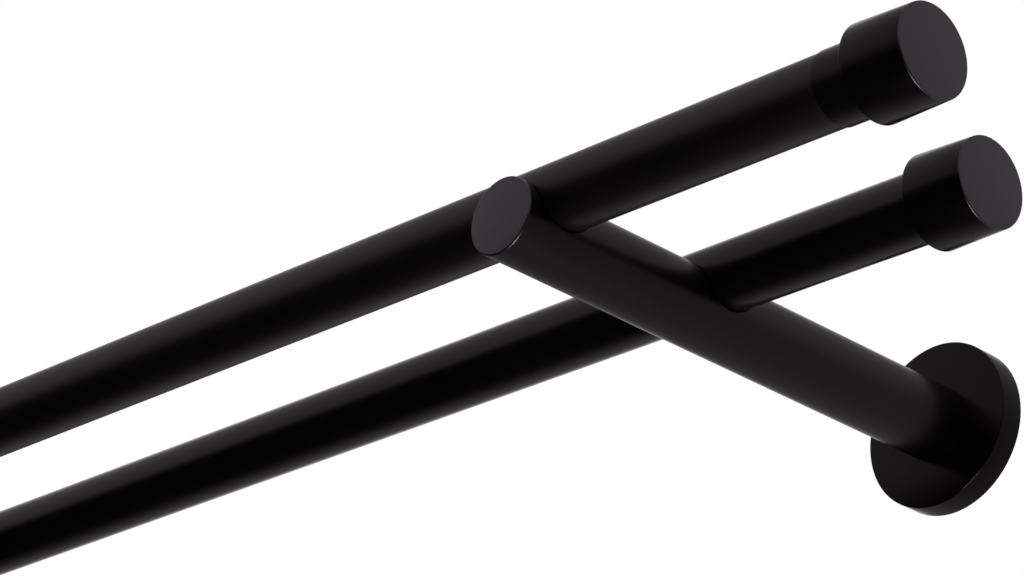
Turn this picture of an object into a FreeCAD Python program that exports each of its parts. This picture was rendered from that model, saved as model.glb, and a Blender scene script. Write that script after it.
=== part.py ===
import FreeCAD, Part
import math
import os

# Double curtain pole: two round poles, one behind the other, on two wall brackets.
# X runs along the poles, Y towards the wall and Z up, in millimetres.
# The origin is midway between the brackets, on the wall, at the height of the arms' axes.

# Poles
POLE_DIAMETER = 20.0
POLE_WALL = 1.0
POLE_SPACING = 63.5  # from one pole's axis to the other's
FRONT_POLE_REACH = 170.0  # from the wall to the front pole's axis
FRONT_OVERHANG = 138.5  # from an arm's axis to the cap's face on the front pole
REAR_OVERHANG = 103.5  # the same on the rear pole

# End caps, drafted from a wide open end to the face, with a thin sleeve round the pole in each
CAP_LENGTH = 19.2
CAP_WALL = 3.15  # at the open end
CAP_END_WALL = 3.0
CAP_DRAFT_DEG = 1.8
CAP_FACE_BREAK = 0.4  # the edge round the face
CAP_MOUTH_BREAK = 0.3  # the edge round the open end
SLEEVE_WALL = 0.25
SLEEVE_CLEARANCE = 0.05  # inside and outside the sleeve
FRONT_SLEEVE_SHOWS = 12.0  # out of the cap's open end
REAR_SLEEVE_RECESS = 1.0  # inside the cap's open end
POLE_END_GAP = 0.2  # from a pole's end to the floor of its cap

# Bracket arms, round bars with two open seats
BRACKET_SPACING = 720.0
ARM_DIAMETER = 22.7
ARM_NOSE_WALL = 3.4  # in front of the front seat
ARM_NOSE_BREAK = 0.5  # the edge round the front end
SEAT_FLOOR = 8.65  # of the arm left under a seat
SEAT_CLEARANCE = 0.4  # round the pole

# Rosettes, cups that stand open side to the wall
ROSETTE_DIAMETER = 51.0
ROSETTE_DEPTH = 8.0
ROSETTE_FRONT_WALL = 2.5
ROSETTE_RIM_WALL = 2.5
ROSETTE_BREAK = 0.5  # the edge round the front

# Wall plates, discs inside the rosettes with a groove round the edge
PLATE_RIM_CLEARANCE = 0.3
PLATE_FRONT_CLEARANCE = 0.5
PLATE_GROOVE_DEPTH = 1.2
WALL_SCREW_HOLE_DIAMETER = 4.4
WALL_SCREW_HEAD_DIAMETER = 8.4

# Bolts from the rosettes into the arms
BOLT_DIAMETER = 6.0
BOLT_ENGAGEMENT = 15.0
BOLT_HOLE_RUNOUT = 2.0
BOLT_HOLE_CLEARANCE = 0.2  # in the rosette
BOLT_HEAD_DIAMETER = 10.5
BOLT_HEAD_HEIGHT = 3.3
BOLT_SOCKET_WIDTH = 4.0
BOLT_SOCKET_DEPTH = 2.0
BOLT_HEAD_CLEARANCE = 1.0  # in the wall plate
THREAD_CLEARANCE = 0.05

# Grub screws, in the top of the rosettes
GRUB_DIAMETER = 3.0
GRUB_SINK = 0.3  # under the rosette's outside
GRUB_TIP_RADIUS = 0.3
GRUB_SEAT_GAP = 0.15
GRUB_SOCKET_WIDTH = 1.5
GRUB_SOCKET_DEPTH = 1.2

# Sizes that follow
POLE_RADIUS = POLE_DIAMETER / 2
ARM_RADIUS = ARM_DIAMETER / 2
SEAT_RADIUS = POLE_RADIUS + SEAT_CLEARANCE
POLE_RISE = SEAT_FLOOR + SEAT_RADIUS - ARM_RADIUS
REAR_POLE_REACH = FRONT_POLE_REACH - POLE_SPACING
ARM_REACH = FRONT_POLE_REACH + SEAT_RADIUS + ARM_NOSE_WALL

SLEEVE_BORE = POLE_RADIUS + SLEEVE_CLEARANCE
SLEEVE_RADIUS = SLEEVE_BORE + SLEEVE_WALL
CAP_BORE = SLEEVE_RADIUS + SLEEVE_CLEARANCE
CAP_MOUTH_RADIUS = CAP_BORE + CAP_WALL
CAP_FACE_RADIUS = CAP_MOUTH_RADIUS - CAP_LENGTH * math.tan(math.radians(CAP_DRAFT_DEG))

ROSETTE_RADIUS = ROSETTE_DIAMETER / 2
ROSETTE_INNER_RADIUS = ROSETTE_RADIUS - ROSETTE_RIM_WALL
ROSETTE_FLOOR = ROSETTE_DEPTH - ROSETTE_FRONT_WALL
PLATE_RADIUS = ROSETTE_INNER_RADIUS - PLATE_RIM_CLEARANCE
PLATE_THICKNESS = ROSETTE_FLOOR - PLATE_FRONT_CLEARANCE
PLATE_GROOVE_FLOOR = PLATE_RADIUS - PLATE_GROOVE_DEPTH
PLATE_HOLE_RADIUS = BOLT_HEAD_DIAMETER / 2 + BOLT_HEAD_CLEARANCE
WALL_SCREW_OFFSET = (PLATE_HOLE_RADIUS + PLATE_GROOVE_FLOOR) / 2

X_AXIS = FreeCAD.Vector(1, 0, 0)
Y_AXIS = FreeCAD.Vector(0, 1, 0)
Z_AXIS = FreeCAD.Vector(0, 0, 1)
ORIGIN = FreeCAD.Vector(0, 0, 0)


def revolved(profile):
    """A solid of revolution about X, from (along X, radius) points in order."""
    points = [FreeCAD.Vector(along, radius, 0) for along, radius in profile]
    face = Part.Face(Part.makePolygon(points + points[:1]))
    return face.revolve(ORIGIN, X_AXIS, 360)


def hexagon(width, depth, start, direction):
    """A hexagonal prism, for a socket of this width across flats."""
    corner = width / math.sqrt(3)
    turns = [math.radians(60 * i) for i in range(7)]
    points = [FreeCAD.Vector(corner * math.cos(t), corner * math.sin(t), 0) for t in turns]
    prism = Part.Face(Part.makePolygon(points)).extrude(Z_AXIS * depth)
    prism.Placement = FreeCAD.Placement(start, FreeCAD.Rotation(Z_AXIS, direction))
    return prism


# Pieces on the poles' axes, with X along the pole

def pole(overhang):
    """A tube that ends just short of the floor of its two caps."""
    half = BRACKET_SPACING / 2 + overhang - CAP_END_WALL - POLE_END_GAP
    bore = POLE_RADIUS - POLE_WALL
    return revolved([(-half, bore), (-half, POLE_RADIUS), (half, POLE_RADIUS), (half, bore)])


def end_cap():
    """A drafted cap with its face at X = 0 and its open end towards -X."""
    return revolved([
        (0, 0),
        (0, CAP_FACE_RADIUS - CAP_FACE_BREAK),
        (-CAP_FACE_BREAK, CAP_FACE_RADIUS),
        (CAP_MOUTH_BREAK - CAP_LENGTH, CAP_MOUTH_RADIUS),
        (-CAP_LENGTH, CAP_MOUTH_RADIUS - CAP_MOUTH_BREAK),
        (-CAP_LENGTH, CAP_BORE),
        (-CAP_END_WALL, CAP_BORE),
        (-CAP_END_WALL, 0),
    ])


def cap_sleeve(past_mouth):
    """A thin sleeve from the pole's end to this far past the cap's open end."""
    start = -CAP_LENGTH - past_mouth
    end = -CAP_END_WALL - POLE_END_GAP
    return revolved([
        (start, SLEEVE_BORE),
        (start, SLEEVE_RADIUS),
        (end, SLEEVE_RADIUS),
        (end, SLEEVE_BORE),
    ])


# Pieces of a bracket, with X out from the wall and Z up

def seat(reach):
    """The U-shaped cut across the arm for the pole at this reach."""
    top = ARM_RADIUS + SEAT_RADIUS
    near, far = reach - SEAT_RADIUS, reach + SEAT_RADIUS
    shoulder_near = FreeCAD.Vector(near, 0, POLE_RISE)
    shoulder_far = FreeCAD.Vector(far, 0, POLE_RISE)
    bottom = FreeCAD.Vector(reach, 0, POLE_RISE - SEAT_RADIUS)
    top_near = FreeCAD.Vector(near, 0, top)
    top_far = FreeCAD.Vector(far, 0, top)
    outline = Part.Wire([
        Part.Arc(shoulder_near, bottom, shoulder_far).toShape(),
        Part.LineSegment(shoulder_far, top_far).toShape(),
        Part.LineSegment(top_far, top_near).toShape(),
        Part.LineSegment(top_near, shoulder_near).toShape(),
    ])
    cut = Part.Face(outline).extrude(Y_AXIS * 2 * ARM_DIAMETER)
    cut.translate(Y_AXIS * -ARM_DIAMETER)
    return cut


def bracket_arm():
    """A round bar from the rosette to the nose, with a tapped foot and two seats."""
    tapped_hole = BOLT_DIAMETER / 2 + THREAD_CLEARANCE
    tapped_end = ROSETTE_DEPTH + BOLT_ENGAGEMENT + BOLT_HOLE_RUNOUT
    bar = revolved([
        (ROSETTE_DEPTH, tapped_hole),
        (ROSETTE_DEPTH, ARM_RADIUS),
        (ARM_REACH - ARM_NOSE_BREAK, ARM_RADIUS),
        (ARM_REACH, ARM_RADIUS - ARM_NOSE_BREAK),
        (ARM_REACH, 0),
        (tapped_end, 0),
        (tapped_end, tapped_hole),
    ])
    for reach in (FRONT_POLE_REACH, REAR_POLE_REACH):
        bar = bar.cut(seat(reach))
    return bar


def rosette():
    """A round cup with a bolt hole in its front and a tapped hole in the top of its rim."""
    bolt_hole = BOLT_DIAMETER / 2 + BOLT_HOLE_CLEARANCE
    cup = revolved([
        (0, ROSETTE_INNER_RADIUS),
        (0, ROSETTE_RADIUS),
        (ROSETTE_DEPTH - ROSETTE_BREAK, ROSETTE_RADIUS),
        (ROSETTE_DEPTH, ROSETTE_RADIUS - ROSETTE_BREAK),
        (ROSETTE_DEPTH, bolt_hole),
        (ROSETTE_FLOOR, bolt_hole),
        (ROSETTE_FLOOR, ROSETTE_INNER_RADIUS),
    ])
    tapped = Part.makeCylinder(
        GRUB_DIAMETER / 2 + THREAD_CLEARANCE,
        ROSETTE_RADIUS,
        X_AXIS * (PLATE_THICKNESS / 2),
        Z_AXIS,
    )
    return cup.cut(tapped)


def wall_plate():
    """A disc with a V groove round its edge and two countersunk holes, one above the other."""
    middle = PLATE_THICKNESS / 2
    plate = revolved([
        (0, PLATE_HOLE_RADIUS),
        (0, PLATE_RADIUS),
        (middle - PLATE_GROOVE_DEPTH, PLATE_RADIUS),
        (middle, PLATE_GROOVE_FLOOR),
        (middle + PLATE_GROOVE_DEPTH, PLATE_RADIUS),
        (PLATE_THICKNESS, PLATE_RADIUS),
        (PLATE_THICKNESS, PLATE_HOLE_RADIUS),
    ])
    hole = WALL_SCREW_HOLE_DIAMETER / 2
    head = WALL_SCREW_HEAD_DIAMETER / 2
    sink = head - hole
    for height in (WALL_SCREW_OFFSET, -WALL_SCREW_OFFSET):
        centre = Z_AXIS * height
        plate = plate.cut(Part.makeCylinder(hole, PLATE_THICKNESS, centre, X_AXIS))
        mouth = centre + X_AXIS * (PLATE_THICKNESS - sink)
        plate = plate.cut(Part.makeCone(hole, head, sink, mouth, X_AXIS))
    return plate


def arm_bolt():
    """A socket-head bolt from the floor of the rosette into the arm."""
    shank = BOLT_DIAMETER / 2
    head = BOLT_HEAD_DIAMETER / 2
    back = ROSETTE_FLOOR - BOLT_HEAD_HEIGHT
    tip = ROSETTE_DEPTH + BOLT_ENGAGEMENT
    bolt = revolved([
        (back, 0),
        (back, head),
        (ROSETTE_FLOOR, head),
        (ROSETTE_FLOOR, shank),
        (tip, shank),
        (tip, 0),
    ])
    return bolt.cut(hexagon(BOLT_SOCKET_WIDTH, BOLT_SOCKET_DEPTH, X_AXIS * back, X_AXIS))


def grub_screw():
    """A cone-point screw, down through the rosette's rim into the plate's groove."""
    radius = GRUB_DIAMETER / 2
    tip = PLATE_GROOVE_FLOOR + GRUB_TIP_RADIUS + GRUB_SEAT_GAP
    shoulder = tip + radius - GRUB_TIP_RADIUS
    top = ROSETTE_RADIUS - GRUB_SINK
    axis = X_AXIS * (PLATE_THICKNESS / 2)
    point = Part.makeCone(GRUB_TIP_RADIUS, radius, shoulder - tip, axis + Z_AXIS * tip, Z_AXIS)
    body = Part.makeCylinder(radius, top - shoulder, axis + Z_AXIS * shoulder, Z_AXIS)
    screw = point.fuse(body).removeSplitter()
    return screw.cut(hexagon(GRUB_SOCKET_WIDTH, GRUB_SOCKET_DEPTH, axis + Z_AXIS * top, Z_AXIS * -1))


def write(name, solid):
    """Keep one piece under its own name."""
    solid.exportStep(os.path.join("parts", name + ".step"))


def on_pole(solid, side, overhang, reach):
    """A piece of a pole's end, turned to that end and set on the pole's axis."""
    piece = solid.copy()
    if side < 0:
        piece.rotate(ORIGIN, Z_AXIS, 180)
    piece.translate(FreeCAD.Vector(side * (BRACKET_SPACING / 2 + overhang), -reach, POLE_RISE))
    return piece


def on_wall(solid, side):
    """A piece of a bracket, turned out from the wall and set at its end of the poles."""
    piece = solid.copy()
    piece.rotate(ORIGIN, Z_AXIS, -90)
    piece.translate(X_AXIS * (side * BRACKET_SPACING / 2))
    return piece


def main():
    os.makedirs("parts", exist_ok=True)
    poles = (
        ("front", FRONT_OVERHANG, FRONT_POLE_REACH, FRONT_SLEEVE_SHOWS),
        ("rear", REAR_OVERHANG, REAR_POLE_REACH, -REAR_SLEEVE_RECESS),
    )
    bracket = {
        "bracket_arm": bracket_arm(),
        "rosette": rosette(),
        "wall_plate": wall_plate(),
        "arm_bolt": arm_bolt(),
        "grub_screw": grub_screw(),
    }
    sides = (("right", 1), ("left", -1))
    for place, overhang, reach, past_mouth in poles:
        tube = pole(overhang)
        tube.translate(FreeCAD.Vector(0, -reach, POLE_RISE))
        write(place + "_pole", tube)
        for hand, side in sides:
            write(f"{place}_{hand}_cap", on_pole(end_cap(), side, overhang, reach))
            write(f"{place}_{hand}_sleeve", on_pole(cap_sleeve(past_mouth), side, overhang, reach))
    for hand, side in sides:
        for name, solid in bracket.items():
            write(f"{hand}_{name}", on_wall(solid, side))


main()
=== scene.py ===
"""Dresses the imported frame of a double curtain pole, and sets the studio round it."""

import math

import bmesh
import bpy
from bpy.props import FloatProperty, FloatVectorProperty, IntProperty, PointerProperty
from mathutils import Matrix, Vector


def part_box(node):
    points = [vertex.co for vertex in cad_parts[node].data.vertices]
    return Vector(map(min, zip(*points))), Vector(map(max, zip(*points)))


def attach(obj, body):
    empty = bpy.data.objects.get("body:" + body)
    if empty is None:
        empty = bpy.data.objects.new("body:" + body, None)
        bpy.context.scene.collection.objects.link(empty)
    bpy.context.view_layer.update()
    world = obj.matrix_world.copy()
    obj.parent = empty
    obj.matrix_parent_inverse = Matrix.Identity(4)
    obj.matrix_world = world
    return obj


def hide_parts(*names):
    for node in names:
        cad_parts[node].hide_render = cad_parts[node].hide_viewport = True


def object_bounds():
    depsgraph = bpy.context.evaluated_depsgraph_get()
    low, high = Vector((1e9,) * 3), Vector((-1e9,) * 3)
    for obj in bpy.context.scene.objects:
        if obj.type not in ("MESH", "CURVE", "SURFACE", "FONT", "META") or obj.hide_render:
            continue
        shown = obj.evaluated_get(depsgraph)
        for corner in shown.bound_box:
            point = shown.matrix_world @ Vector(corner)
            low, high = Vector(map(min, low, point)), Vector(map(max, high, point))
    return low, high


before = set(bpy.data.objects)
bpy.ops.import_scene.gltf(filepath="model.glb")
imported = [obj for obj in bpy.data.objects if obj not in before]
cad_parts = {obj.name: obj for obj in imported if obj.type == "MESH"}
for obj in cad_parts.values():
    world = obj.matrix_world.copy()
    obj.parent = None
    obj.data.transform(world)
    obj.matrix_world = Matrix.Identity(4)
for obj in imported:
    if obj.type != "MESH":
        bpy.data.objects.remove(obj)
CAD_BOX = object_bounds()

bl_info = {
    "name": "Double Curtain Pole",
    "version": (1, 0, 0),
    "blender": (4, 5, 0),
    "location": "View3D > Sidebar > Curtain Pole",
    "description": "Models the pieces of a double curtain pole on its frame and lights them",
    "category": "Object",
}

BODY = "root"

# Lengths in metres. FLAT is the least cosine from a flat face's normal to its axis.
SAME_PLACE = 1e-6
RING_TOLERANCE = 10 * SAME_PLACE
BOX_TOLERANCE = 3e-4
FLAT = 0.99
CREASE = math.radians(30.0)
EDGE_STEPS = 4
HOLE_STEPS = 48
FLOOR_STEPS = 96

NOISE_RANGE = (0.3, 0.7)
PLAIN_GLOSS = 0.5
COAT_UNEVENNESS = 0.02
WHITE = (1.0, 1.0, 1.0, 1.0)
SENSOR_WIDTH = 36.0
SIGHT_RANGE = (0.05, 50.0)

AXIS_X, AXIS_Y = 0, 1
HANDS = ("right", "left")
PLACES = ("front", "rear")
ALONG_X = (0.0, math.pi / 2, 0.0)
ALONG_Y = (math.pi / 2, 0.0, 0.0)
ALONG_Z = (0.0, 0.0, 0.0)


class CURTAIN_PG_sizes(bpy.types.PropertyGroup):
    """Sizes that the frame's boxes do not give"""

    round_steps: IntProperty(
        name="Round Steps",
        description="Sides round a pole, cap, arm or rosette",
        default=192,
        min=24,
    )
    pole_wall: FloatProperty(
        name="Pole Wall",
        description="Wall of the tube of both poles",
        default=0.001,
        unit="LENGTH",
    )
    cap_draft: FloatProperty(
        name="Cap Draft",
        description="Taper of an end cap from its open end to its face",
        default=math.radians(1.8),
        subtype="ANGLE",
    )
    cap_bore_clearance: FloatProperty(
        name="Cap Bore Clearance",
        description="Room between an end cap and the sleeve in it",
        default=0.00005,
        unit="LENGTH",
    )
    cap_end_wall: FloatProperty(
        name="Cap End Wall",
        description="Thickness of an end cap's face",
        default=0.003,
        unit="LENGTH",
    )
    cap_face_edge: FloatProperty(
        name="Cap Face Edge",
        description="Rounding of the edge round an end cap's face",
        default=0.0004,
        unit="LENGTH",
    )
    cap_mouth_edge: FloatProperty(
        name="Cap Mouth Edge",
        description="Rounding of the edge round an end cap's open end",
        default=0.0003,
        unit="LENGTH",
    )
    sleeve_wall: FloatProperty(
        name="Sleeve Wall",
        description="Wall of the thin sleeve in each end cap",
        default=0.00025,
        unit="LENGTH",
    )
    arm_nose_edge: FloatProperty(
        name="Arm Nose Edge",
        description="Rounding of the edge round an arm's front end",
        default=0.0006,
        unit="LENGTH",
    )
    seat_clearance: FloatProperty(
        name="Seat Clearance",
        description="Room between a pole and its seat in an arm",
        default=0.0004,
        unit="LENGTH",
    )
    arm_bolt_hole: FloatProperty(
        name="Arm Bolt Hole",
        description="Diameter of the tapped hole in the foot of an arm",
        default=0.0061,
        unit="LENGTH",
    )
    arm_bolt_runout: FloatProperty(
        name="Arm Bolt Runout",
        description="Depth of that hole past the tip of its bolt",
        default=0.002,
        unit="LENGTH",
    )
    rosette_bolt_hole: FloatProperty(
        name="Rosette Bolt Hole",
        description="Diameter of the bolt's hole in the front of a rosette",
        default=0.0064,
        unit="LENGTH",
    )
    rosette_wall: FloatProperty(
        name="Rosette Wall",
        description="Wall of a rosette's front and rim",
        default=0.0025,
        unit="LENGTH",
    )
    rosette_edge: FloatProperty(
        name="Rosette Edge",
        description="Rounding of the edge round a rosette's front",
        default=0.0005,
        unit="LENGTH",
    )
    grub_hole: FloatProperty(
        name="Grub Hole",
        description="Diameter of the tapped hole in the top of a rosette",
        default=0.0031,
        unit="LENGTH",
    )


class CURTAIN_PG_finishes(bpy.types.PropertyGroup):
    """Colours and gloss of the finishes"""

    coat_colour: FloatVectorProperty(
        name="Coat Colour",
        description="Black coat of the poles, caps, arms and rosettes",
        subtype="COLOR",
        size=4,
        min=0.0,
        max=1.0,
        default=(0.0012, 0.0009, 0.0011, 1.0),
    )
    coat_gloss_tint: FloatVectorProperty(
        name="Coat Gloss Tint",
        description="Tint of what the coat mirrors",
        subtype="COLOR",
        size=4,
        min=0.0,
        max=1.0,
        default=(1.0, 0.84, 0.93, 1.0),
    )
    coat_roughness: FloatProperty(
        name="Coat Roughness",
        description="Middle roughness of the coat on the rear pole and the caps",
        subtype="FACTOR",
        default=0.22,
        min=0.0,
        max=1.0,
    )
    front_pole_roughness: FloatProperty(
        name="Front Pole Roughness",
        description="Middle roughness of the coat on the front pole",
        subtype="FACTOR",
        default=0.35,
        min=0.0,
        max=1.0,
    )
    arm_roughness: FloatProperty(
        name="Arm Roughness",
        description="Middle roughness of the coat on the bracket arms",
        subtype="FACTOR",
        default=0.30,
        min=0.0,
        max=1.0,
    )
    rosette_roughness: FloatProperty(
        name="Rosette Roughness",
        description="Middle roughness of the coat on the rosettes",
        subtype="FACTOR",
        default=0.21,
        min=0.0,
        max=1.0,
    )
    # Painted light and shade: poles, caps, arms and rosettes share one black coat, and these
    # strengths make lit and shaded copies of it; the front pole and the arms mirror more than
    # plain lacquer, and the caps and the rosettes less, to stand in for how light falls on them.
    front_pole_painted_light_level: FloatProperty(
        name="Front Pole Gloss",
        description="Strength of what the front pole mirrors, where a half is plain lacquer",
        subtype="FACTOR",
        default=0.66,
        min=0.0,
        max=1.0,
    )
    rear_pole_painted_light_level: FloatProperty(
        name="Rear Pole Gloss",
        description="Strength of what the rear pole mirrors",
        subtype="FACTOR",
        default=0.50,
        min=0.0,
        max=1.0,
    )
    cap_painted_light_level: FloatProperty(
        name="Cap Gloss",
        description="Strength of what the end caps mirror",
        subtype="FACTOR",
        default=0.36,
        min=0.0,
        max=1.0,
    )
    arm_painted_light_level: FloatProperty(
        name="Arm Gloss",
        description="Strength of what the bracket arms mirror",
        subtype="FACTOR",
        default=0.61,
        min=0.0,
        max=1.0,
    )
    rosette_painted_light_level: FloatProperty(
        name="Rosette Gloss",
        description="Strength of what the rosettes mirror",
        subtype="FACTOR",
        default=0.28,
        min=0.0,
        max=1.0,
    )
    # These set the finish of the caps' and arms' flat ends and rounded edges. Their tint and index
    # are a painted sheen that makes these mirror more than the rest of the coat, on top of the
    # real glints from the lamp below.
    end_roughness: FloatProperty(
        name="End Roughness",
        description="Middle roughness of the faced ends of the caps and arms",
        subtype="FACTOR",
        default=0.32,
        min=0.0,
        max=1.0,
    )
    end_painted_sheen_tint: FloatVectorProperty(
        name="End Gloss Tint",
        description="Tint of what the faced ends mirror",
        subtype="COLOR",
        size=4,
        min=0.0,
        max=1.0,
        default=(1.0, 0.87, 1.0, 1.0),
    )
    end_painted_sheen_index: FloatProperty(
        name="End Index",
        description="Refractive index of the coat on the faced ends and their edges",
        default=2.04,
        min=1.0,
        max=4.0,
    )
    sleeve_colour: FloatVectorProperty(
        name="Sleeve Colour",
        description="Black plastic of the sleeves",
        subtype="COLOR",
        size=4,
        min=0.0,
        max=1.0,
        default=(0.0014, 0.0011, 0.0013, 1.0),
    )
    sleeve_gloss: FloatProperty(
        name="Sleeve Gloss",
        description="Strength of what the sleeves mirror",
        subtype="FACTOR",
        default=0.36,
        min=0.0,
        max=1.0,
    )
    zinc_colour: FloatVectorProperty(
        name="Zinc Colour",
        description="Zinc of the wall plates",
        subtype="COLOR",
        size=4,
        min=0.0,
        max=1.0,
        default=(0.58, 0.60, 0.62, 1.0),
    )
    steel_colour: FloatVectorProperty(
        name="Steel Colour",
        description="Bright steel of the arm bolts",
        subtype="COLOR",
        size=4,
        min=0.0,
        max=1.0,
        default=(0.50, 0.49, 0.47, 1.0),
    )
    grub_colour: FloatVectorProperty(
        name="Grub Screw Colour",
        description="Blackened steel of the grub screws",
        subtype="COLOR",
        size=4,
        min=0.0,
        max=1.0,
        default=(0.035, 0.034, 0.036, 1.0),
    )


class CURTAIN_PG_stage(bpy.types.PropertyGroup):
    """Camera, floor and light"""

    azimuth: FloatProperty(
        name="Azimuth",
        description="Turn of the camera round the right-hand bracket",
        subtype="ANGLE",
        default=math.radians(47.9491),
    )
    elevation: FloatProperty(
        name="Elevation",
        description="Height of the camera over the bracket, as an angle",
        subtype="ANGLE",
        default=math.radians(-24.9205),
    )
    roll: FloatProperty(
        name="Roll",
        description="Turn of the camera about its own line of sight",
        subtype="ANGLE",
        default=math.radians(4.1537),
    )
    distance: FloatProperty(
        name="Distance",
        description="From the camera to the point that it looks at",
        unit="LENGTH",
        default=1.083941,
    )
    aim: FloatVectorProperty(
        name="Aim",
        description="Point that the camera looks at",
        subtype="TRANSLATION",
        default=(0.332807, -0.153083, -0.001908),
    )
    lens: FloatProperty(
        name="Focal Length",
        description="Focal length of the camera in millimetres",
        default=139.2183,
    )
    floor_drop: FloatProperty(
        name="Floor Drop",
        description="Depth of the floor below the arms",
        unit="LENGTH",
        default=0.75,
    )
    floor_radius: FloatProperty(
        name="Floor Radius",
        description="Radius of the floor",
        unit="LENGTH",
        default=6.0,
    )
    floor_fade: FloatVectorProperty(
        name="Floor Fade",
        description="Parts of the floor's radius where it starts to fade and is gone",
        size=2,
        default=(0.2, 0.95),
    )
    floor_colour: FloatVectorProperty(
        name="Floor Colour",
        description="Pale floor",
        subtype="COLOR",
        size=4,
        min=0.0,
        max=1.0,
        default=(0.81, 0.84, 0.83, 1.0),
    )
    studio_level: FloatProperty(
        name="Studio Level",
        description="Brightness of the walls and ceiling that the coat mirrors",
        default=0.30,
        min=0.0,
    )
    shadow_level: FloatProperty(
        name="Shadow Level",
        description="Brightness of the dark part of the studio, low in front",
        default=0.01,
        min=0.0,
    )
    studio_colour: FloatVectorProperty(
        name="Studio Colour",
        description="Colour of the walls and ceiling that the coat mirrors",
        subtype="COLOR",
        size=4,
        min=0.0,
        max=1.0,
        default=(1.0, 0.92, 0.945, 1.0),
    )
    ceiling_edge: FloatVectorProperty(
        name="Ceiling Edge",
        description="Slope of a sight line where the ceiling's light starts and is full",
        size=2,
        default=(-0.1, 0.36),
    )
    wall_edge: FloatVectorProperty(
        name="Wall Edge",
        description="Slope of a sight line where the wall's light starts and is full",
        size=2,
        default=(0.0, 0.85),
    )
    backdrop_edge: FloatVectorProperty(
        name="Backdrop Edge",
        description="Cosine off the camera's line where the white backdrop starts and is full",
        size=2,
        default=(0.85, 1.0),
    )
    lamp_place: FloatVectorProperty(
        name="Lamp Place",
        description="Middle of the soft lamp over the floor",
        subtype="TRANSLATION",
        default=(0.0, -0.1, 2.2),
    )
    lamp_size: FloatVectorProperty(
        name="Lamp Size",
        description="Width and depth of the soft lamp over the floor",
        size=2,
        unit="LENGTH",
        default=(3.5, 3.5),
    )
    lamp_power: FloatProperty(
        name="Lamp Power",
        description="Power of the soft lamp over the floor",
        unit="POWER",
        default=110.0,
    )
    glint_place: FloatVectorProperty(
        name="Glint Place",
        description="Middle of the lamp under the right-hand ends",
        subtype="TRANSLATION",
        default=(0.56, -0.27, -0.64),
    )
    glint_size: FloatVectorProperty(
        name="Glint Size",
        description="Width and depth of the lamp under the right-hand ends",
        size=2,
        unit="LENGTH",
        default=(0.32, 0.3),
    )
    glint_power: FloatProperty(
        name="Glint Power",
        description="Power of the lamp under the right-hand ends that picks out the edges",
        unit="POWER",
        default=1.6,
    )


def select_only(piece):
    """Leave this piece as the one that the next operator acts on."""
    bpy.ops.object.select_all(action="DESELECT")
    piece.select_set(True)
    bpy.context.view_layer.objects.active = piece


def add_bar(name, radius, low, high, turn, steps):
    """A closed round bar between two points on its axis, with its place in its mesh."""
    bpy.ops.object.select_all(action="DESELECT")
    bpy.ops.mesh.primitive_cylinder_add(
        vertices=steps,
        radius=radius,
        depth=(high - low).length,
        location=(low + high) / 2,
        rotation=turn,
    )
    bpy.ops.object.transform_apply(location=True, rotation=True, scale=True)
    bar = bpy.context.object
    bar.name = name
    bar.data.name = name
    return bar


def open_edit(piece):
    """Edit one piece."""
    select_only(piece)
    bpy.ops.object.mode_set(mode="EDIT")


def close_edit():
    """Back to object mode."""
    bpy.ops.object.mode_set(mode="OBJECT")


def pick(piece, kind, wanted):
    """Select the faces or the edges that a test wants."""
    bpy.ops.mesh.select_mode(type=kind)
    bpy.ops.mesh.select_all(action="DESELECT")
    shape = bmesh.from_edit_mesh(piece.data)
    found = [item for item in (shape.faces if kind == "FACE" else shape.edges) if wanted(item)]
    if not found:
        raise RuntimeError(f"{piece.name}: no {kind.lower()} to work on")
    for item in found:
        item.select_set(True)
    shape.select_flush_mode()
    bmesh.update_edit_mesh(piece.data)


def end_face(axis, place):
    """A test for the flat face at this place along an axis."""
    def wanted(face):
        flat = abs(face.normal[axis]) > FLAT
        return flat and abs(face.calc_center_median()[axis] - place) < SAME_PLACE
    return wanted


def end_and_edge(axis, place, size):
    """A test for the faces of an end and of the rounded edge of this size round it."""
    def wanted(face):
        return abs(face.calc_center_median()[axis] - place) < size
    return wanted


def ring(axis, place, centre, radius):
    """A test for the edges of a circle of this radius at a place along an axis."""
    def wanted(edge):
        for corner in edge.verts:
            out = corner.co - centre
            along = corner.co[axis] - place
            out[axis] = 0.0
            if abs(along) > SAME_PLACE or abs(out.length - radius) > RING_TOLERANCE:
                return False
        return True
    return wanted


def round_edge(piece, wanted, size):
    """Round the edges that a test wants."""
    pick(piece, "EDGE", wanted)
    bpy.ops.mesh.bevel(
        offset=size,
        offset_type="OFFSET",
        segments=EDGE_STEPS,
        profile=0.5,
        affect="EDGES",
        clamp_overlap=False,
    )


def push_face(offset):
    """Extrude the selected face by an offset."""
    bpy.ops.mesh.extrude_region_move(TRANSFORM_OT_translate={"value": tuple(offset)})


def add_tube(name, node, wall, steps):
    """A tube along X with this wall, as long and as wide as a node."""
    low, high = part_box(node)
    centre = (low + high) / 2
    start = Vector((low.x, centre.y, centre.z))
    end = Vector((high.x, centre.y, centre.z))
    tube = add_bar(name, (high.y - low.y) / 2, start, end, ALONG_X, steps)
    open_edit(tube)
    pick(tube, "FACE", lambda face: abs(face.normal.x) > FLAT)
    bpy.ops.mesh.inset(thickness=wall, use_individual=True)
    bpy.ops.mesh.bridge_edge_loops()
    close_edit()
    smooth(tube)
    return tube


def cut(piece, tool):
    """Cut a tool's shape out of a piece, and throw the tool away."""
    select_only(piece)
    step = piece.modifiers.new("cut", "BOOLEAN")
    step.operation = "DIFFERENCE"
    step.solver = "EXACT"
    step.object = tool
    bpy.ops.object.modifier_apply(modifier=step.name)
    bpy.data.objects.remove(tool, do_unlink=True)


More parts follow.
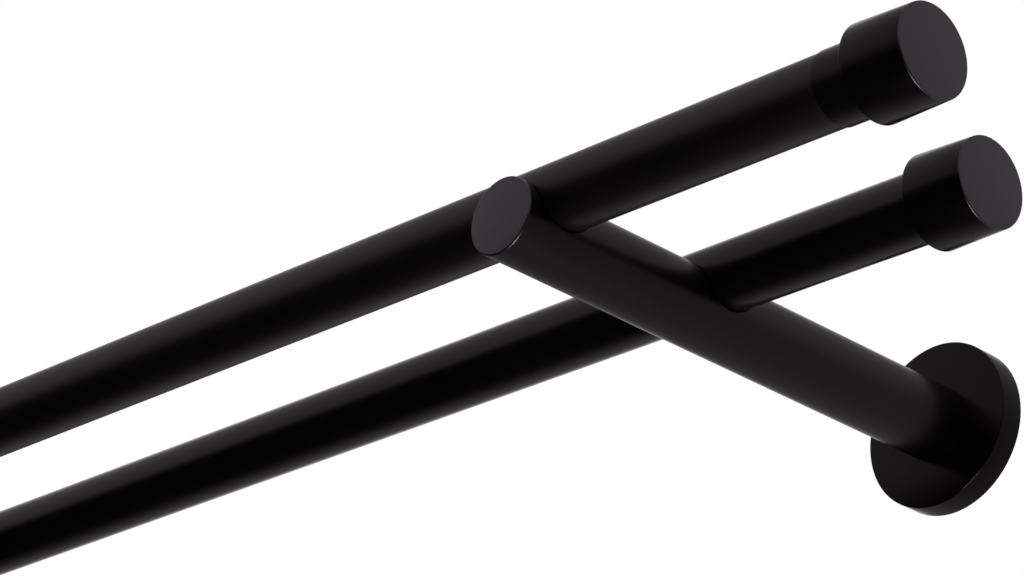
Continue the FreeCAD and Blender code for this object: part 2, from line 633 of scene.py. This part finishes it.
def drill(piece, diameter, start, end, turn):
    """Cut a round hole from one point to another."""
    cut(piece, add_bar("drill_tool", diameter / 2, start, end, turn, HOLE_STEPS))


def smooth(piece):
    """Shade a piece smooth, with its edges kept crisp."""
    select_only(piece)
    bpy.ops.object.shade_smooth_by_angle(angle=CREASE)


def middle_of(node):
    """Middle of a node's box."""
    low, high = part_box(node)
    return (low + high) / 2


def copy_piece(piece, name, node, other, turned=False):
    """A copy with its own mesh, taken from one node to another, turned about Z or not."""
    start = middle_of(node)
    if turned:
        start = Vector((-start.x, -start.y, start.z))
    select_only(piece)
    bpy.ops.object.duplicate(linked=False)
    copy = bpy.context.object
    copy.rotation_euler = (0.0, 0.0, math.pi if turned else 0.0)
    copy.location = middle_of(other) - start
    bpy.ops.object.transform_apply(location=True, rotation=True, scale=True)
    copy.name = name
    copy.data.name = name
    return copy


def box_of(piece):
    """Lowest and highest corner of a finished piece."""
    corners = [Vector(corner) for corner in piece.bound_box]
    low = Vector([min(corner[i] for corner in corners) for i in range(3)])
    high = Vector([max(corner[i] for corner in corners) for i in range(3)])
    return low, high


def settle(piece, node, finish):
    """Give a piece its finish and let it stand for its node, where the node is."""
    bpy.context.view_layer.update()
    for mine, its in zip(box_of(piece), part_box(node)):
        if (mine - its).length > BOX_TOLERANCE:
            raise RuntimeError(f"{piece.name} is not where {node} is: {mine} {its}")
    shape = bmesh.new()
    shape.from_mesh(piece.data)
    loose = [edge for edge in shape.edges if not edge.is_manifold]
    inside_out = shape.calc_volume(signed=True) <= 0.0
    shape.free()
    if loose or inside_out:
        raise RuntimeError(f"{piece.name} is not a closed shape: {len(loose)} open edges")
    piece.data.materials.clear()
    piece.data.materials.append(finish)
    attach(piece, BODY)
    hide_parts(node)


def new_finish(name):
    """A material with its shader and an Object coordinate."""
    finish = bpy.data.materials.get(name) or bpy.data.materials.new(name)
    finish.use_nodes = True
    tree = finish.node_tree
    tree.nodes.clear()
    output = tree.nodes.new("ShaderNodeOutputMaterial")
    shader = tree.nodes.new("ShaderNodeBsdfPrincipled")
    tree.links.new(shader.outputs["BSDF"], output.inputs["Surface"])
    place = tree.nodes.new("ShaderNodeTexCoord")
    return finish, tree, shader, place.outputs["Object"]


def grain(tree, place, scale, detail=2.0):
    """A noise of this many grains a metre."""
    noise = tree.nodes.new("ShaderNodeTexNoise")
    noise.inputs["Scale"].default_value = scale
    noise.inputs["Detail"].default_value = detail
    tree.links.new(place, noise.inputs["Vector"])
    return noise.outputs["Fac"]


def remap(tree, value, edges, levels, kind):
    """Carry a value from one range of numbers to another."""
    node = tree.nodes.new("ShaderNodeMapRange")
    node.interpolation_type = kind
    for name, number in zip(("From Min", "From Max", "To Min", "To Max"), (*edges, *levels)):
        node.inputs[name].default_value = number
    tree.links.new(value, node.inputs["Value"])
    return node.outputs["Result"]


def spread(tree, value, low, high):
    """Spread a noise over a range of numbers."""
    return remap(tree, value, NOISE_RANGE, (low, high), "LINEAR")


def maths(tree, operation, *values, clamp=False):
    """Work out one value from others."""
    node = tree.nodes.new("ShaderNodeMath")
    node.operation = operation
    node.use_clamp = clamp
    for value, socket in zip(values, node.inputs):
        tree.links.new(value, socket)
    return node.outputs["Value"]


def shades(tree, value, colour, low, high):
    """Vary a colour between two brightnesses."""
    ramp = tree.nodes.new("ShaderNodeValToRGB")
    for stop, place, level in zip(ramp.color_ramp.elements, NOISE_RANGE, (low, high)):
        stop.position = place
        stop.color = (*[channel * level for channel in colour[:3]], 1.0)
    tree.links.new(value, ramp.inputs["Fac"])
    return ramp.outputs["Color"]


def relief(tree, value, strength, height):
    """A fine relief from a noise, as a normal."""
    bump = tree.nodes.new("ShaderNodeBump")
    bump.inputs["Strength"].default_value = strength
    bump.inputs["Distance"].default_value = height
    tree.links.new(value, bump.inputs["Height"])
    return bump.outputs["Normal"]


def dress(tree, shader, colour, gloss, skin):
    """Give a shader its colour, its roughness and its relief."""
    tree.links.new(colour, shader.inputs["Base Color"])
    tree.links.new(gloss, shader.inputs["Roughness"])
    tree.links.new(skin, shader.inputs["Normal"])


def black_coat(name, strength, roughness):
    """Semi-gloss black coat over metal, with a faint levelling texture; its strength makes a lit
    or shaded copy of the one coat for each piece, as painted light and shade.
    """
    looks = bpy.context.scene.curtain_finishes
    finish, tree, shader, place = new_finish(name)
    colour = shades(tree, grain(tree, place, scale=40.0), looks.coat_colour, low=0.85, high=1.15)
    gloss = spread(
        tree,
        grain(tree, place, scale=25.0, detail=3.0),
        low=roughness - COAT_UNEVENNESS,
        high=roughness + COAT_UNEVENNESS,
    )
    peel = relief(tree, grain(tree, place, scale=700.0), strength=0.04, height=0.0001)
    dress(tree, shader, colour, gloss, peel)
    # Painted light and shade: this strength brightens or darkens what each piece's copy of the
    # coat mirrors.
    shader.inputs["Specular IOR Level"].default_value = strength
    shader.inputs["Specular Tint"].default_value = looks.coat_gloss_tint
    return finish


def painted_sheen_end(name):
    """The coat on a flat end and its rounded edge, made to mirror more there than on the sides,
    with a lilac tint: a painted sheen that brightens the end faces and the edge glints that the
    lamp below also lights.
    """
    looks = bpy.context.scene.curtain_finishes
    finish = black_coat(name, PLAIN_GLOSS, looks.end_roughness)
    shader = next(node for node in finish.node_tree.nodes if node.type == "BSDF_PRINCIPLED")
    shader.inputs["IOR"].default_value = looks.end_painted_sheen_index
    shader.inputs["Specular Tint"].default_value = looks.end_painted_sheen_tint
    return finish


def paint(piece, wanted, finish):
    """Give the faces that a test wants a finish of their own."""
    piece.data.materials.append(finish)
    open_edit(piece)
    pick(piece, "FACE", wanted)
    piece.active_material_index = len(piece.data.materials) - 1
    bpy.ops.object.material_slot_assign()
    close_edit()


def black_plastic(name):
    """Black plastic with fine moulding grain."""
    looks = bpy.context.scene.curtain_finishes
    finish, tree, shader, place = new_finish(name)
    colour = shades(tree, grain(tree, place, scale=120.0), looks.sleeve_colour, low=0.8, high=1.2)
    gloss = spread(tree, grain(tree, place, scale=90.0), low=0.22, high=0.28)
    skin = relief(tree, grain(tree, place, scale=2500.0), strength=0.08, height=0.00005)
    dress(tree, shader, colour, gloss, skin)
    shader.inputs["Specular IOR Level"].default_value = looks.sleeve_gloss
    shader.inputs["Specular Tint"].default_value = looks.coat_gloss_tint
    return finish


def zinc_plate(name):
    """Galvanised steel, with cloudy crystals of two or three millimetres."""
    looks = bpy.context.scene.curtain_finishes
    finish, tree, shader, place = new_finish(name)
    crystals = tree.nodes.new("ShaderNodeTexVoronoi")
    crystals.inputs["Scale"].default_value = 380.0
    tree.links.new(place, crystals.inputs["Vector"])
    single = tree.nodes.new("ShaderNodeSeparateColor")
    tree.links.new(crystals.outputs["Color"], single.inputs["Color"])
    colour = shades(tree, single.outputs["Red"], looks.zinc_colour, low=0.86, high=1.08)
    gloss = spread(tree, single.outputs["Green"], low=0.30, high=0.46)
    skin = relief(tree, grain(tree, place, scale=900.0), strength=0.1, height=0.0001)
    dress(tree, shader, colour, gloss, skin)
    shader.inputs["Metallic"].default_value = 1.0
    return finish


def screw_steel(name, colour, low, high):
    """Steel of a screw, with a fine grain and a roughness between two values."""
    finish, tree, shader, place = new_finish(name)
    shade = shades(tree, grain(tree, place, scale=500.0, detail=3.0), colour, low=0.85, high=1.12)
    gloss = spread(tree, grain(tree, place, scale=800.0), low, high)
    skin = relief(tree, grain(tree, place, scale=3000.0), strength=0.1, height=0.00005)
    dress(tree, shader, shade, gloss, skin)
    shader.inputs["Metallic"].default_value = 1.0
    return finish


class CURTAIN_OT_poles(bpy.types.Operator):
    """Model the front and the rear pole as coated tubes"""

    bl_idname = "curtain.poles"
    bl_label = "Poles"

    def execute(self, context):
        sizes = context.scene.curtain_sizes
        looks = context.scene.curtain_finishes
        # The front pole's copy of the coat mirrors more than the rear pole's, as painted light and
        # shade.
        finishes = {
            "front": black_coat(
                "front_pole_coat", looks.front_pole_painted_light_level, looks.front_pole_roughness
            ),
            "rear": black_coat("rear_pole_coat", looks.rear_pole_painted_light_level, looks.coat_roughness),
        }
        for place, finish in finishes.items():
            node = f"{place}_pole"
            tube = add_tube(f"{node}_tube", node, sizes.pole_wall, sizes.round_steps)
            settle(tube, node, finish)
        return {"FINISHED"}


class CURTAIN_OT_caps(bpy.types.Operator):
    """Model one drafted end cap and copy it to the other three pole ends"""

    bl_idname = "curtain.caps"
    bl_label = "End Caps"

    def execute(self, context):
        sizes = context.scene.curtain_sizes
        looks = context.scene.curtain_finishes
        # The caps' copy of the coat mirrors less than plain lacquer, as painted shade.
        finish = black_coat("cap_coat", looks.cap_painted_light_level, looks.coat_roughness)
        painted_sheen_finish = painted_sheen_end("cap_end_painted_sheen")
        low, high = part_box("front_right_cap")
        sleeve_low, sleeve_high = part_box("front_right_sleeve")
        centre = (low + high) / 2
        length = high.x - low.x
        mouth = (high.y - low.y) / 2
        face = mouth - length * math.tan(sizes.cap_draft)
        bore = (sleeve_high.y - sleeve_low.y) / 2 + sizes.cap_bore_clearance
        start = Vector((low.x, centre.y, centre.z))
        end = Vector((high.x, centre.y, centre.z))
        cap = add_bar("front_right_cap_shell", mouth, start, end, ALONG_X, sizes.round_steps)
        open_edit(cap)
        pick(cap, "FACE", end_face(AXIS_X, high.x))
        bpy.ops.transform.resize(value=(1.0, face / mouth, face / mouth), center_override=end)
        pick(cap, "FACE", end_face(AXIS_X, low.x))
        bpy.ops.mesh.inset(thickness=mouth - bore)
        push_face((length - sizes.cap_end_wall, 0.0, 0.0))
        round_edge(cap, ring(AXIS_X, high.x, centre, face), sizes.cap_face_edge)
        round_edge(cap, ring(AXIS_X, low.x, centre, mouth), sizes.cap_mouth_edge)
        close_edit()
        smooth(cap)
        for place in PLACES:
            for hand in HANDS:
                node = f"{place}_{hand}_cap"
                piece = cap
                if node != "front_right_cap":
                    turned = hand == "left"
                    piece = copy_piece(cap, f"{node}_shell", "front_right_cap", node, turned)
                settle(piece, node, finish)
                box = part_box(node)
                outer = box[1].x if hand == "right" else box[0].x
                # Painted sheen on the outer end and its rounded edge.
                paint(piece, end_and_edge(AXIS_X, outer, sizes.cap_face_edge), painted_sheen_finish)
        return {"FINISHED"}


class CURTAIN_OT_sleeves(bpy.types.Operator):
    """Model the thin sleeve of each right-hand cap and copy it to the left"""

    bl_idname = "curtain.sleeves"
    bl_label = "Cap Sleeves"

    def execute(self, context):
        sizes = context.scene.curtain_sizes
        finish = black_plastic("sleeve_plastic")
        for place in PLACES:
            node, other = f"{place}_right_sleeve", f"{place}_left_sleeve"
            sleeve = add_tube(f"{node}_skin", node, sizes.sleeve_wall, sizes.round_steps)
            copy = copy_piece(sleeve, f"{other}_skin", node, other, turned=True)
            settle(sleeve, node, finish)
            settle(copy, other, finish)
        return {"FINISHED"}


class CURTAIN_OT_arms(bpy.types.Operator):
    """Model one bracket arm with its seats and bolt hole and copy it to the other bracket"""

    bl_idname = "curtain.arms"
    bl_label = "Bracket Arms"

    def execute(self, context):
        sizes = context.scene.curtain_sizes
        looks = context.scene.curtain_finishes
        # The arms' copy of the coat mirrors more than plain lacquer, as painted light.
        finish = black_coat("arm_coat", looks.arm_painted_light_level, looks.arm_roughness)
        painted_sheen_finish = painted_sheen_end("arm_end_painted_sheen")
        low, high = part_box("right_bracket_arm")
        radius = (high.x - low.x) / 2
        middle = (low.x + high.x) / 2
        foot = Vector((middle, high.y, 0.0))
        nose = Vector((middle, low.y, 0.0))
        arm = add_bar("right_bracket_arm_bar", radius, nose, foot, ALONG_Y, sizes.round_steps)
        open_edit(arm)
        round_edge(arm, ring(AXIS_Y, low.y, foot, radius), sizes.arm_nose_edge)
        close_edit()
        for place in PLACES:
            cut(arm, self.seat_tool(sizes, place, middle, radius))
        drill(
            arm,
            sizes.arm_bolt_hole,
            Vector((middle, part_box("right_arm_bolt")[0].y - sizes.arm_bolt_runout, 0.0)),
            foot + Vector((0.0, sizes.arm_bolt_runout, 0.0)),
            ALONG_Y,
        )
        smooth(arm)
        settle(arm, "right_bracket_arm", finish)
        # Painted sheen on the nose and its rounded edge.
        paint(arm, end_and_edge(AXIS_Y, low.y, sizes.arm_nose_edge), painted_sheen_finish)
        copy = copy_piece(arm, "left_bracket_arm_bar", "right_bracket_arm", "left_bracket_arm")
        settle(copy, "left_bracket_arm", finish)
        # Painted sheen on the copy's nose and its rounded edge too.
        paint(copy, end_and_edge(AXIS_Y, low.y, sizes.arm_nose_edge), painted_sheen_finish)
        return {"FINISHED"}

    def seat_tool(self, sizes, place, middle, arm_radius):
        """The U shape of a seat: a round bar whose upper half is drawn up."""
        axis = middle_of(f"{place}_pole")
        low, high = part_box(f"{place}_pole")
        radius = (high.y - low.y) / 2 + sizes.seat_clearance
        start = Vector((middle - 2 * arm_radius, axis.y, axis.z))
        end = Vector((middle + 2 * arm_radius, axis.y, axis.z))
        tool = add_bar(f"{place}_seat_tool", radius, start, end, ALONG_X, sizes.round_steps)
        open_edit(tool)
        pick(
            tool,
            "FACE",
            lambda face: abs(face.normal.x) < FLAT and face.calc_center_median().z > axis.z,
        )
        push_face((0.0, 0.0, 2 * arm_radius))
        close_edit()
        return tool


class CURTAIN_OT_rosettes(bpy.types.Operator):
    """Model one rosette as a hollow cup with its two holes and copy it to the other bracket"""

    bl_idname = "curtain.rosettes"
    bl_label = "Rosettes"

    def execute(self, context):
        sizes = context.scene.curtain_sizes
        looks = context.scene.curtain_finishes
        # The rosettes' copy of the coat mirrors less than plain lacquer, as painted shade.
        finish = black_coat("rosette_coat", looks.rosette_painted_light_level, looks.rosette_roughness)
        low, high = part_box("right_rosette")
        radius = (high.x - low.x) / 2
        middle = (low.x + high.x) / 2
        back = Vector((middle, high.y, 0.0))
        front = Vector((middle, low.y, 0.0))
        depth = high.y - low.y
        cup = add_bar("right_rosette_cup", radius, front, back, ALONG_Y, sizes.round_steps)
        open_edit(cup)
        pick(cup, "FACE", end_face(AXIS_Y, high.y))
        bpy.ops.mesh.inset(thickness=sizes.rosette_wall)
        push_face((0.0, sizes.rosette_wall - depth, 0.0))
        round_edge(cup, ring(AXIS_Y, low.y, back, radius), sizes.rosette_edge)
        close_edit()
        screw_low, screw_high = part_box("right_grub_screw")
        screw = (screw_low + screw_high) / 2
        drill(
            cup,
            sizes.grub_hole,
            Vector((screw.x, screw.y, radius - 2 * sizes.rosette_wall)),
            Vector((screw.x, screw.y, radius + sizes.rosette_wall)),
            ALONG_Z,
        )
        drill(
            cup,
            sizes.rosette_bolt_hole,
            front - Vector((0.0, sizes.rosette_wall, 0.0)),
            front + Vector((0.0, 2 * sizes.rosette_wall, 0.0)),
            ALONG_Y,
        )
        smooth(cup)
        settle(cup, "right_rosette", finish)
        copy = copy_piece(cup, "left_rosette_cup", "right_rosette", "left_rosette")
        settle(copy, "left_rosette", finish)
        return {"FINISHED"}


class CURTAIN_OT_fixings(bpy.types.Operator):
    """Give the wall plates, the arm bolts and the grub screws their metals"""

    bl_idname = "curtain.fixings"
    bl_label = "Fixings"

    def execute(self, context):
        looks = context.scene.curtain_finishes
        finishes = {
            "wall_plate": zinc_plate("plate_zinc"),
            "arm_bolt": screw_steel("fastener_steel", looks.steel_colour, low=0.22, high=0.36),
            "grub_screw": screw_steel("grub_black", looks.grub_colour, low=0.38, high=0.5),
        }
        for hand in HANDS:
            for kind, finish in finishes.items():
                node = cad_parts[f"{hand}_{kind}"]
                node.data.materials.clear()
                node.data.materials.append(finish)
        return {"FINISHED"}


class CURTAIN_OT_stage(bpy.types.Operator):
    """Set the camera, the pale floor and the soft studio light"""

    bl_idname = "curtain.stage"
    bl_label = "Stage"

    def execute(self, context):
        stage = context.scene.curtain_stage
        self.camera(context, stage)
        self.floor(stage)
        self.lamps(context, stage)
        self.studio(context, stage)
        context.scene.view_settings.view_transform = "Standard"
        return {"FINISHED"}

    def camera_side(self, stage):
        """The way from the bracket to the camera."""
        turn, rise = stage.azimuth, stage.elevation
        return Vector((
            math.sin(turn) * math.cos(rise),
            -math.cos(turn) * math.cos(rise),
            math.sin(rise),
        ))

    def camera(self, context, stage):
        """A camera below and to the right of the right-hand bracket, looking up."""
        turn, roll = stage.azimuth, stage.roll
        back = self.camera_side(stage)
        level = Vector((math.cos(turn), math.sin(turn), 0.0))
        upright = back.cross(level)
        right = level * math.cos(roll) + upright * math.sin(roll)
        up = upright * math.cos(roll) - level * math.sin(roll)
        pose = Matrix((right, up, back)).transposed()
        bpy.ops.object.select_all(action="DESELECT")
        bpy.ops.object.camera_add(
            location=Vector(stage.aim) + back * stage.distance,
            rotation=pose.to_euler(),
        )
        camera = context.object
        camera.name = "studio_camera"
        camera.data.sensor_width = SENSOR_WIDTH
        camera.data.lens = stage.lens
        camera.data.clip_start, camera.data.clip_end = SIGHT_RANGE
        context.scene.camera = camera

    def floor(self, stage):
        """A wide round floor that fades out to its rim."""
        low, high = CAD_BOX
        middle = (low + high) / 2
        bpy.ops.object.select_all(action="DESELECT")
        bpy.ops.mesh.primitive_circle_add(
            vertices=FLOOR_STEPS,
            radius=stage.floor_radius,
            fill_type="NGON",
            location=(middle.x, middle.y, -stage.floor_drop),
        )
        bpy.ops.object.transform_apply(location=True, rotation=True, scale=True)
        floor = bpy.context.object
        floor.name = "pale_floor"
        floor.data.materials.append(self.floor_finish(stage))
        floor.visible_glossy = False

    def floor_finish(self, stage):
        """Pale and matt in the middle, open towards the rim and from below."""
        finish, tree, shader, place = new_finish("pale_floor")
        shader.inputs["Base Color"].default_value = stage.floor_colour
        shader.inputs["Roughness"].default_value = 0.9
        shader.inputs["Specular IOR Level"].default_value = 0.1
        reach = tree.nodes.new("ShaderNodeVectorMath")
        reach.operation = "LENGTH"
        tree.links.new(place, reach.inputs[0])
        edges = [part * stage.floor_radius for part in stage.floor_fade]
        near = remap(tree, reach.outputs["Value"], edges, (1.0, 0.0), "SMOOTHSTEP")
        side = tree.nodes.new("ShaderNodeNewGeometry")
        above = maths(tree, "SUBTRACT", near, side.outputs["Backfacing"], clamp=True)
        tree.links.new(above, shader.inputs["Alpha"])
        return finish

    def lamps(self, context, stage):
        """A soft lamp overhead for the floor, and one below that the edges mirror."""
        over = self.lamp(context, "lamp_over", stage.lamp_place, stage.lamp_size, stage.lamp_power)
        over.visible_glossy = False
        under = self.lamp(
            context, "lamp_under", stage.glint_place, stage.glint_size, stage.glint_power
        )
        under.rotation_euler = (math.pi, 0.0, 0.0)
        # First hits only: mirrored twice, it would light the arms where the poles lie on them.
        under.data.cycles.max_bounces = 0
        under.data.cycles.use_multiple_importance_sampling = False

    def lamp(self, context, name, place, size, power):
        """A soft lamp that faces down until it is turned."""
        bpy.ops.object.select_all(action="DESELECT")
        bpy.ops.object.light_add(type="AREA", location=place)
        lamp = context.object
        lamp.name = name
        lamp.data.shape = "RECTANGLE"
        lamp.data.size, lamp.data.size_y = size
        lamp.data.energy = power
        lamp.visible_camera = False
        return lamp

    def studio(self, context, stage):
        """Pale walls and ceiling, dark low in front, and white behind the object."""
        world = context.scene.world or bpy.data.worlds.new("studio")
        context.scene.world = world
        world.use_nodes = True
        tree = world.node_tree
        tree.nodes.clear()
        output = tree.nodes.new("ShaderNodeOutputWorld")
        light = tree.nodes.new("ShaderNodeBackground")
        light.inputs["Color"].default_value = stage.studio_colour
        white = tree.nodes.new("ShaderNodeBackground")
        white.inputs["Color"].default_value = WHITE
        choose = tree.nodes.new("ShaderNodeMixShader")
        tree.links.new(light.outputs["Background"], choose.inputs[1])
        tree.links.new(white.outputs["Background"], choose.inputs[2])
        tree.links.new(choose.outputs["Shader"], output.inputs["Surface"])
        way = tree.nodes.new("ShaderNodeTexCoord")
        parts = tree.nodes.new("ShaderNodeSeparateXYZ")
        tree.links.new(way.outputs["Generated"], parts.inputs["Vector"])
        levels = (stage.shadow_level, stage.studio_level)
        ceiling = remap(tree, parts.outputs["Z"], stage.ceiling_edge, levels, "SMOOTHSTEP")
        wall = remap(tree, parts.outputs["Y"], stage.wall_edge, levels, "SMOOTHSTEP")
        tree.links.new(maths(tree, "MAXIMUM", ceiling, wall), light.inputs["Strength"])
        shown = self.white_share(tree, stage, way.outputs["Generated"])
        tree.links.new(shown, choose.inputs["Fac"])

    def white_share(self, tree, stage, way):
        """White for the camera, and for mirrored rays along the photo camera's line."""
        behind = tree.nodes.new("ShaderNodeVectorMath")
        behind.operation = "DOT_PRODUCT"
        behind.inputs[1].default_value = -self.camera_side(stage)
        tree.links.new(way, behind.inputs[0])
        backdrop = remap(
            tree, behind.outputs["Value"], stage.backdrop_edge, (0.0, 1.0), "SMOOTHSTEP"
        )
        ray = tree.nodes.new("ShaderNodeLightPath")
        mirrored = maths(
            tree, "MAXIMUM", ray.outputs["Is Glossy Ray"], ray.outputs["Is Transmission Ray"]
        )
        return maths(tree, "MULTIPLY_ADD", mirrored, backdrop, ray.outputs["Is Camera Ray"])


class CURTAIN_PT_panel(bpy.types.Panel):
    """Pieces of the curtain pole and its stage"""

    bl_label = "Curtain Pole"
    bl_idname = "CURTAIN_PT_panel"
    bl_space_type = "VIEW_3D"
    bl_region_type = "UI"
    bl_category = "Curtain Pole"

    def draw(self, context):
        for step in STEPS:
            self.layout.operator(step.bl_idname)
        for group in ("curtain_sizes", "curtain_finishes", "curtain_stage"):
            values = getattr(context.scene, group)
            column = self.layout.column()
            for name in values.bl_rna.properties.keys():
                if name not in ("rna_type", "name"):
                    column.prop(values, name)


GROUPS = (CURTAIN_PG_sizes, CURTAIN_PG_finishes, CURTAIN_PG_stage)
STEPS = (
    CURTAIN_OT_poles,
    CURTAIN_OT_caps,
    CURTAIN_OT_sleeves,
    CURTAIN_OT_arms,
    CURTAIN_OT_rosettes,
    CURTAIN_OT_fixings,
    CURTAIN_OT_stage,
)


def register():
    for kind in (*GROUPS, *STEPS, CURTAIN_PT_panel):
        bpy.utils.register_class(kind)
    bpy.types.Scene.curtain_sizes = PointerProperty(type=CURTAIN_PG_sizes)
    bpy.types.Scene.curtain_finishes = PointerProperty(type=CURTAIN_PG_finishes)
    bpy.types.Scene.curtain_stage = PointerProperty(type=CURTAIN_PG_stage)


def unregister():
    del bpy.types.Scene.curtain_stage
    del bpy.types.Scene.curtain_finishes
    del bpy.types.Scene.curtain_sizes
    for kind in reversed((*GROUPS, *STEPS, CURTAIN_PT_panel)):
        bpy.utils.unregister_class(kind)


def main():
    register()
    bpy.ops.curtain.poles()
    bpy.ops.curtain.caps()
    bpy.ops.curtain.sleeves()
    bpy.ops.curtain.arms()
    bpy.ops.curtain.rosettes()
    bpy.ops.curtain.fixings()
    bpy.ops.curtain.stage()


if __name__ == "__main__":
    main()
